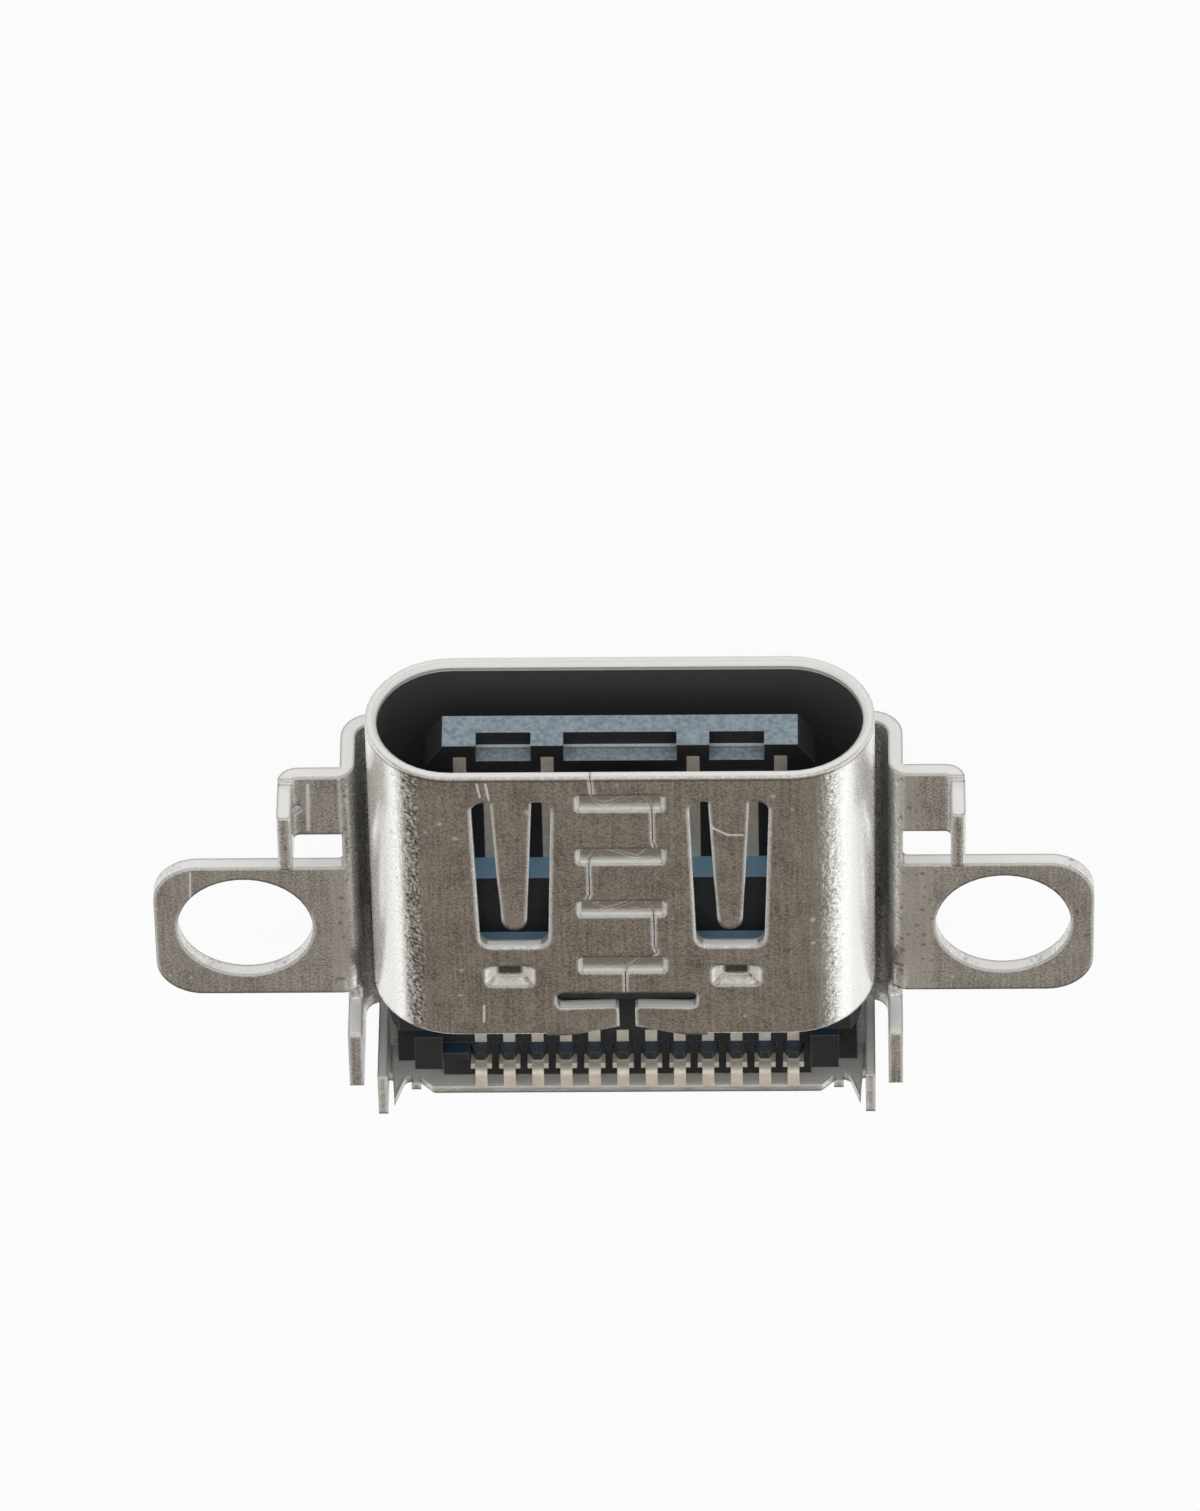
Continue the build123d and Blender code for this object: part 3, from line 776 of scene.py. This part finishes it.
@dataclass(frozen=True)
class MouldedPlastic:
    """Black glass filled moulding, with painted light on its mouth-facing faces.

    The painted light is plain grey on the tongue, bluer on the step behind step_y, and
    darkest, as painted shade, on the block and ribs behind rear_y.
    """

    name: str
    colour: Colour
    worn: Colour
    worn_share: float = 0.5
    # Colours of the painted light on the mouth-facing faces: the skin colours are painted light,
    # and the rear one is painted shade.
    skin: Colour = srgb(158, 174, 186)
    lit_front_dark: Colour = srgb(122, 139, 150)
    lit_step: Colour = srgb(136, 176, 204)
    step_y: float = -2.5 * MM
    dim_lit_rear: Colour = srgb(50, 72, 92)
    rear_y: float = 1.0 * MM
    lit_front_rough: float = 0.5
    front_band: Band = Band(0.85, 0.97)
    grain_scale: float = 14000.0
    cloud_scale: float = 3000.0
    cloud_band: Band = Band(0.35, 0.7)
    fibre_scale: float = 12000.0
    smooth: float = 0.45
    matt: float = 0.67
    edge_radius: float = 0.02 * MM
    # Painted highlight on the edges.
    edge_highlight_layer: Layer = Layer(srgb(150, 160, 170), 0.5, share=0.3)
    strength: float = 0.5

    def build(self, effects: SurfaceEffects) -> Material:
        """Build the material.

        Args:
            effects: The shared node groups.

        Returns:
            The material, still open for more layers.
        """
        made = Material(self.name, effects)
        grain = made.grain(Grain.EVEN, self.grain_scale)
        cloud = made.blotches(self.cloud_scale, self.cloud_band)
        made.colour = made.blend(made.times(cloud, self.worn_share), self.colour, self.worn)
        made.rough = made.fade(grain, self.smooth, self.matt)
        fibre = made.grain(Grain.EVEN, self.fibre_scale)
        tongue = made.blend(fibre, self.lit_front_dark, self.skin)
        ahead = made.blend(made.behind(self.step_y), tongue, self.lit_step)
        skin = made.blend(made.behind(self.rear_y), ahead, self.dim_lit_rear)
        # Painted light on the mouth-facing faces.
        made.coat(made.facing(MOUTHWARD, self.front_band), Layer(skin, self.lit_front_rough))
        # Painted highlight on the edges.
        edge_highlights, _ = made.round_edges(self.edge_radius)
        made.coat(edge_highlights, self.edge_highlight_layer)
        made.height = grain
        return made


@dataclass(frozen=True)
class GoldPlate:
    """Thin gold over a stamped copper alloy strip, with painted highlights on its mouth-facing
    faces, upward faces and edges.
    """

    name: str
    gold: Colour
    tarnish: Colour
    metal: float = 0.3
    smooth: float = 0.30
    matt: float = 0.50
    cloud_scale: float = 5200.0
    cloud_band: Band = Band(0.35, 0.65)
    streak_scale: float = 12000.0
    front_band: Band = Band(0.75, 0.95)
    # Painted highlights on the mouth-facing and upward faces.
    front_highlight_layer: Layer = Layer(srgb(246, 240, 230), 0.35)
    upward_highlight_band: Band = Band(0.3, 0.9)
    upward_highlight_layer: Layer = Layer(srgb(246, 240, 230), 0.35, 0.2, 0.6)
    edge_radius: float = 0.02 * MM
    # Painted highlight on the edges.
    edge_highlight_layer: Layer = Layer(srgb(246, 240, 230), 0.4, share=0.5)
    strength: float = 0.4

    def build(self, effects: SurfaceEffects) -> Material:
        """Build the material.

        Args:
            effects: The shared node groups.

        Returns:
            The material, still open for more layers.
        """
        made = Material(self.name, effects)
        cloud = made.blotches(self.cloud_scale, self.cloud_band)
        streaks = made.grain(Grain.ALONG_PORT, self.streak_scale)
        made.colour = made.blend(cloud, self.gold, self.tarnish)
        made.rough = made.fade(streaks, self.smooth, self.matt)
        made.metal = self.metal
        # Painted highlights on the faces that look to the mouth and up.
        made.coat(made.facing(MOUTHWARD, self.front_band), self.front_highlight_layer)
        made.coat(made.facing(UPWARD, self.upward_highlight_band), self.upward_highlight_layer)
        # Painted highlight on the edges.
        edge_highlights, _ = made.round_edges(self.edge_radius)
        made.coat(edge_highlights, self.edge_highlight_layer)
        made.height = streaks
        return made


def dress_node(frame: dict, node: str, material: bpy.types.Material) -> None:
    """Replace every material of a CAD node.

    Args:
        frame: The loaded frame.
        node: Name of the node.
        material: Its new material.
    """
    piece = frame["nodes"][node]
    for place in piece.material_slots:
        place.material = material
    LOG.info("dressed %s with %s", node, material.name)


@dataclass
class ShellTube:
    """Rolled steel shell: painted highlight on the rim, painted shade on the dimple floors and
    inside the tube, a painted dark reflection line behind the rim, and sunk coin marks.
    """

    node: str = "shell"
    wall: float = 0.20 * MM
    wall_share: float = 0.6
    inward_band: Band = Band(-0.3, -0.6)
    # Painted shade inside the tube.
    inside_shade_layer: Layer = Layer(srgb(74, 74, 75), 0.7, 0.0)
    rim_depth: float = 0.14 * MM
    # Painted highlight just inside the mouth.
    rim_highlight_layer: Layer = Layer(CUT_METAL_AND_HIGHLIGHT, 0.35, 0.1)
    # Painted dark reflection line just behind the rim.
    dark_reflection_depth: float = 0.09 * MM
    dark_reflection_half: float = 0.015 * MM
    dark_reflection_soft: float = 0.02 * MM
    dark_reflection_layer: Layer = Layer(srgb(110, 106, 101), 0.4, share=0.6)
    dimple_x: float = 1.96 * MM
    dimple_depth: float = 4.80 * MM
    dimple_half: Point = (0.17 * MM, 0.08 * MM, 0.4 * MM)
    dimple_soft: float = 0.05 * MM
    # Painted shade on the dimple floors.
    dimple_shade_layer: Layer = Layer(srgb(84, 82, 80), 0.4, share=0.9)
    coin_sink: float = 0.10 * MM
    coin_half: tuple[float, float] = (1.0 * MM, 2.55 * MM)
    coin_slice: float = 0.3
    coin_band: Band = Band(0.90, 0.97)
    coin_layer: Layer = Layer(srgb(196, 192, 186), 0.25, 0.9)
    finish: SheetMetal = SheetMetal(
        "rolled_shell_steel",
        crackle=(0.3, 0.85),
        # Full painted highlight on both flanks.
        flanks=(1.0, 1.0),
        scratches=(
            Scratch((2.43, -4.64), (2.38, -4.33)),
            Scratch((2.28, -4.64), (2.23, -4.26)),
            Scratch((2.42, 0.76), (2.43, 1.16)),
            Scratch((-1.42, -3.85), (-1.60, -3.54), 0.04),
            Scratch((-1.60, -3.54), (-1.84, -3.39), 0.04),
            Scratch((-1.84, -3.39), (-2.09, -3.38), 0.04),
        ),
    )

    def dress(self, frame: dict, effects: SurfaceEffects) -> None:
        """Give the shell its plating outside and painted shade inside.

        Args:
            frame: The loaded frame.
            effects: The shared node groups.
        """
        low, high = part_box(self.node)
        made = self.finish.build(effects)
        inward = self.inward(made, low, high)
        self.paint_rim_highlight(made, inward, low, high)
        self.paint_dimple_shade(made, low, high)
        self.polish_coins(made, low, high)
        self.paint_rim_dark_reflection(made, low, high)
        self.paint_inside_shade(made, inward, low, high)
        dress_node(frame, self.node, made.finish(self.finish.relief, self.finish.strength))

    def inward(self, made: Material, low: Vector, high: Vector) -> Socket:
        """Find the faces that look to the middle of the oval tube.

        Args:
            made: The material under construction.
            low: Lowest corner of the shell.
            high: Highest corner of the shell.

        Returns:
            The mask of those faces.
        """
        flat_half = (high.x - low.x) / 2 - (high.z - low.z) / 2
        parts = made.node("SeparateXYZ")
        made.link(made.minus(made.place, tuple((low + high) / 2)), parts.inputs[0])
        beyond = made.math("SUBTRACT", made.math("ABSOLUTE", parts.outputs[0]), flat_half)
        side = made.math("MAXIMUM", beyond, 0.0)
        side = made.times(side, made.math("SIGN", parts.outputs[0]))
        outward = made.node("CombineXYZ")
        made.feed(outward, {0: side, 1: 0.0, 2: parts.outputs[2]})
        toward = made.node("VectorMath", operation="NORMALIZE")
        made.link(outward.outputs[0], toward.inputs[0])
        same = made.dot(toward.outputs[0], made.looking)
        return made.spread(same, self.inward_band.low, self.inward_band.high)

    def paint_rim_highlight(self, made: Material, inward: Socket, low: Vector, high: Vector) -> None:
        """Paint a highlight on the inward faces just inside the mouth.

        Args:
            made: The material under construction.
            inward: Mask of the faces inside the tube.
            low: Lowest corner of the shell.
            high: Highest corner of the shell.
        """
        middle = (low + high) / 2
        half = (ENDLESS, self.rim_depth, ENDLESS)
        lead_in = made.zone((middle.x, low.y, middle.z), half, SHARP)
        # Painted highlight on the inward faces at the rim.
        made.coat(made.times(inward, lead_in), self.rim_highlight_layer)

    def paint_dimple_shade(self, made: Material, low: Vector, high: Vector) -> None:
        """Paint shade on the floors of the two dimples.

        Args:
            made: The material under construction.
            low: Lowest corner of the shell.
            high: Highest corner of the shell.
        """
        for way in BOTH_SIDES:
            middle = (way * self.dimple_x, low.y + self.dimple_depth, high.z)
            floor = made.zone(middle, self.dimple_half, self.dimple_soft)
            # Painted shade on this dimple floor.
            made.coat(floor, self.dimple_shade_layer)

    def polish_coins(self, made: Material, low: Vector, high: Vector) -> None:
        """Polish the floors of the coined marks.

        Args:
            made: The material under construction.
            low: Lowest corner of the shell.
            high: Highest corner of the shell.
        """
        half_x, half_y = self.coin_half
        middle = (0.0, low.y + half_y, high.z - self.coin_sink)
        pocket = made.zone(middle, (half_x, half_y, self.coin_slice * self.coin_sink), SHARP)
        level = made.facing(UPWARD, self.coin_band)
        made.coat(made.times(level, pocket), self.coin_layer)

    def paint_rim_dark_reflection(self, made: Material, low: Vector, high: Vector) -> None:
        """Paint the thin dark reflection line behind the cut rim.

        Args:
            made: The material under construction.
            low: Lowest corner of the shell.
            high: Highest corner of the shell.
        """
        middle = (low + high) / 2
        place = (middle.x, low.y + self.dark_reflection_depth, middle.z)
        half = (ENDLESS, self.dark_reflection_half, ENDLESS)
        # Painted dark reflection behind the rim.
        made.coat(made.zone(place, half, self.dark_reflection_soft), self.dark_reflection_layer)

    def paint_inside_shade(self, made: Material, inward: Socket, low: Vector, high: Vector) -> None:
        """Paint shade on the inside of the tube behind its rim.

        Args:
            made: The material under construction.
            inward: Mask of the faces inside the tube.
            low: Lowest corner of the shell.
            high: Highest corner of the shell.
        """
        middle, size = (low + high) / 2, high - low
        skin = self.wall_share * self.wall
        half = (size.x / 2 - skin, size.y / 2, size.z / 2 - skin)
        core = made.zone((middle.x, middle.y + self.rim_depth, middle.z), half, SHARP)
        # Painted shade on the inward faces.
        made.coat(made.times(inward, core), self.inside_shade_layer)


@dataclass
class FoldedBracket:
    """Thick folded bracket with its ears, tabs and legs, with pale ragged patches beside the
    bends.
    """

    node: str = "bracket"
    ear_top: float = 1.57 * MM
    level_band: Band = Band(0.7, 0.9)
    ragged_scale: float = 5000.0
    ragged_octaves: float = 5.0
    ragged_reach: float = 0.35 * MM
    patch_height: float = 0.2 * MM
    patch_soft: float = 0.05 * MM
    # Pale ragged patches with dark specks on the level faces beside the bends.
    patch_layer: Layer = Layer(srgb(232, 228, 222), 0.4, 0.7)
    pitted: Specks = Specks(8000.0, 0.5, 0.5)
    pitted_layer: Layer = Layer(srgb(96, 90, 84), 0.4)
    pale_patches: tuple[PalePatch, ...] = (
        PalePatch((-4.90, 0.55), (0.46, 1.50), 0.55),
        PalePatch((-4.95, -2.50), (0.21, 0.70), 0.5),
        PalePatch((4.85, 0.55), (0.22, 1.50), 0.5),
    )
    finish: SheetMetal = SheetMetal(
        "folded_bracket_steel",
        metal=0.78,
        scratches=(
            # White line along a burr on the tab: a real burr line, drawn as a painted highlight.
            Scratch((5.40, -3.02), (5.42, -1.95), 0.06),
            Scratch((7.51, -0.89), (7.53, -0.25), 0.03),
        ),
    )

    def dress(self, frame: dict, effects: SurfaceEffects) -> None:
        """Give the bracket its plating, with pale ragged patches beside the bends.

        Args:
            frame: The loaded frame.
            effects: The shared node groups.
        """
        made = self.finish.build(effects)
        level = made.facing(UPWARD, self.level_band)
        ragged = made.noise(made.place, self.ragged_scale, self.ragged_octaves)
        jitter = made.times(made.math("SUBTRACT", ragged, 0.5), self.ragged_reach)
        shifted = made.node("CombineXYZ")
        made.feed(shifted, {0: jitter, 1: jitter, 2: 0.0})
        around = made.vector_math("ADD", made.place, shifted.outputs[0])
        pitted = made.specks(self.pitted)
        for patch_spot in self.pale_patches:
            middle = (patch_spot.middle[0] * MM, patch_spot.middle[1] * MM, self.ear_top)
            half = (patch_spot.half[0] * MM, patch_spot.half[1] * MM, self.patch_height)
            patch = made.zone(middle, half, self.patch_soft, Vector=around)
            patch = made.times(made.times(patch, level), patch_spot.share)
            made.coat(patch, self.patch_layer)
            made.coat(made.times(patch, pitted), self.pitted_layer)
        dress_node(frame, self.node, made.finish(self.finish.relief, self.finish.strength))


@dataclass
class RearShield:
    """Thin sheet that closes the rear."""

    node: str = "rear_shield"
    finish: SheetMetal = SheetMetal("thin_shield_steel", metal=0.4, grain=Grain.ACROSS_PORT)

    def dress(self, frame: dict, effects: SurfaceEffects) -> None:
        """Give the shield its plating."""
        made = self.finish.build(effects)
        dress_node(frame, self.node, made.finish(self.finish.relief, self.finish.strength))


@dataclass
class ContactBlock:
    """Moulded housing with its inserts, stiffener and two rows of contacts."""

    plastic: MouldedPlastic = MouldedPlastic(
        "black_moulding", srgb(40, 41, 43), srgb(48, 51, 56)
    )
    insert: MouldedPlastic = MouldedPlastic(
        "black_insert_moulding", srgb(36, 38, 41), srgb(45, 48, 53)
    )
    plate: SheetMetal = SheetMetal(
        "stiffener_steel", srgb(200, 200, 198), srgb(160, 158, 155), strength=0.4
    )
    contact: GoldPlate = GoldPlate(
        "gold_plated_contact", srgb(250, 242, 224), srgb(222, 206, 180)
    )
    relief: float = 0.004 * MM
    rows: tuple[str, str] = ("near", "far")
    count: int = 12

    def dress(self, frame: dict, effects: SurfaceEffects) -> None:
        """Give each piece of the block its finish.

        Args:
            frame: The loaded frame.
            effects: The shared node groups.
        """
        housing = self.plastic.build(effects).finish(self.relief, self.plastic.strength)
        dress_node(frame, "housing", housing)
        insert = self.insert.build(effects).finish(self.relief, self.insert.strength)
        for row in self.rows:
            dress_node(frame, f"{row}_insert", insert)
        plate = self.plate.build(effects).finish(self.plate.relief, self.plate.strength)
        dress_node(frame, "mid_plate", plate)
        gold = self.contact.build(effects).finish(self.relief, self.contact.strength)
        for row in self.rows:
            for place in range(1, self.count + 1):
                dress_node(frame, f"{row}_contact_{place:02d}", gold)


@dataclass(frozen=True)
class Card:
    """Darker card in the soft white studio, given by the direction of its middle.

    It fades in from outer to inner, which are cosines of the angle to that direction.
    """

    direction: Point
    outer: float
    inner: float
    colour: Colour


@dataclass
class Studio:
    """Floor, soft light and camera."""

    azimuth: float = -1.367
    elevation: float = 45.434
    roll: float = -179.358
    aim_x: float = 0.353 * MM
    aim_depth: float = 1.093 * MM
    aim_z: float = 1.57 * MM
    distance: float = 217.36 * MM
    lens: float = 301.48
    sensor_width: float = 36.0
    nearest: float = 0.01
    furthest: float = 5.0
    floor_size: float = 0.6
    floor_colour: Colour = (0.95, 0.95, 0.95, 1.0)
    floor_rough: float = 0.9
    floor_glow: float = 0.93
    white: float = 1.27
    cards: tuple[Card, ...] = (
        Card((0.125, 0.70, 0.711), 0.665, 0.73, (0.236, 0.203, 0.171, 1.0)),
        Card((0.0, -0.90, 0.43), 0.90, 0.97, (0.66, 0.64, 0.61, 1.0)),
        Card((0.76, -0.42, 0.49), 0.84, 0.94, (0.50, 0.48, 0.45, 1.0)),
        Card((-0.76, -0.42, 0.49), 0.84, 0.94, (0.50, 0.48, 0.45, 1.0)),
        Card((0.94, 0.0, 0.34), 0.84, 0.94, (0.45, 0.43, 0.40, 1.0)),
        Card((-0.94, 0.0, 0.34), 0.84, 0.94, (0.45, 0.43, 0.40, 1.0)),
    )

    def build(self, mouth_y: float) -> None:
        """Build the whole studio.

        Args:
            mouth_y: Where the rim of the mouth stands along Y.
        """
        self.build_floor()
        self.build_world()
        self.build_camera(mouth_y)

    def build_floor(self) -> None:
        """Lay a plain pale floor under the part, white to the camera and in reflections."""
        half = self.floor_size / 2
        mesh = bpy.data.meshes.new("floor")
        corners = [(-half, -half, 0), (half, -half, 0), (half, half, 0), (-half, half, 0)]
        mesh.from_pydata(corners, [], [(0, 1, 2, 3)])
        floor = bpy.data.objects.new("floor", mesh)
        bpy.context.scene.collection.objects.link(floor)
        made = Material("pale_floor")
        made.shader.inputs["Base Color"].default_value = self.floor_colour
        made.shader.inputs["Roughness"].default_value = self.floor_rough
        made.shader.inputs["Specular IOR Level"].default_value = 0.0
        path = made.node("LightPath").outputs
        seen = made.math("MAXIMUM", path["Is Camera Ray"], path["Is Glossy Ray"])
        seen = made.math("MAXIMUM", seen, path["Is Transmission Ray"])
        glow = made.node("Emission")
        mixed = made.node("MixShader")
        values = {1: made.shader.outputs[0], 2: glow.outputs[0]}
        made.feed(mixed, {0: made.times(seen, self.floor_glow), **values})
        made.link(mixed.outputs[0], made.tree.nodes["Material Output"].inputs["Surface"])
        mesh.materials.append(made.made)

    def build_world(self) -> None:
        """Light the part from all round, with darker cards for the sheet metal to show."""
        world = bpy.data.worlds.new("studio")
        bpy.context.scene.world = world
        world.use_nodes = True
        nodes = ShaderNodes(world.node_tree)
        ray = nodes.node("TexCoord").outputs["Generated"]
        light: object = (self.white, self.white, self.white, 1.0)
        for card in self.cards:
            near = nodes.spread(nodes.dot(ray, card.direction), card.outer, card.inner)
            light = nodes.blend(near, light, card.colour)
        nodes.link(light, world.node_tree.nodes["Background"].inputs["Color"])

    def build_camera(self, mouth_y: float) -> None:
        """Place the camera where the photograph was taken from.

        Args:
            mouth_y: Where the rim of the mouth stands along Y.
        """
        turn, rise = math.radians(self.azimuth), math.radians(self.elevation)
        level = math.cos(rise)
        back = Vector((math.sin(turn) * level, -math.cos(turn) * level, math.sin(rise)))
        up = (Vector(UPWARD) - back * back.z).normalized()
        right = up.cross(back)
        roll = math.radians(self.roll)
        side = right * math.cos(roll) + up * math.sin(roll)
        top = up * math.cos(roll) - right * math.sin(roll)
        data = bpy.data.cameras.new("camera")
        data.lens = self.lens
        data.sensor_width = self.sensor_width
        data.clip_start = self.nearest
        data.clip_end = self.furthest
        camera = bpy.data.objects.new("camera", data)
        turned = Matrix((side, top, back)).transposed().to_4x4()
        aim = Vector((self.aim_x, mouth_y + self.aim_depth, self.aim_z))
        camera.matrix_world = Matrix.Translation(aim + back * self.distance) @ turned
        bpy.context.scene.collection.objects.link(camera)
        bpy.context.scene.camera = camera


def main() -> None:
    """Load the frame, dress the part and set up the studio."""
    logging.basicConfig(level=logging.INFO)
    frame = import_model()
    bpy.context.scene.view_settings.view_transform = "Standard"
    effects = SurfaceEffects.build()
    for assembly in (ShellTube(), FoldedBracket(), RearShield(), ContactBlock()):
        assembly.dress(frame, effects)
        LOG.info("finished %s", type(assembly).__name__)
    Studio().build(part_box("shell")[0].y)


if __name__ == "__main__":
    main()
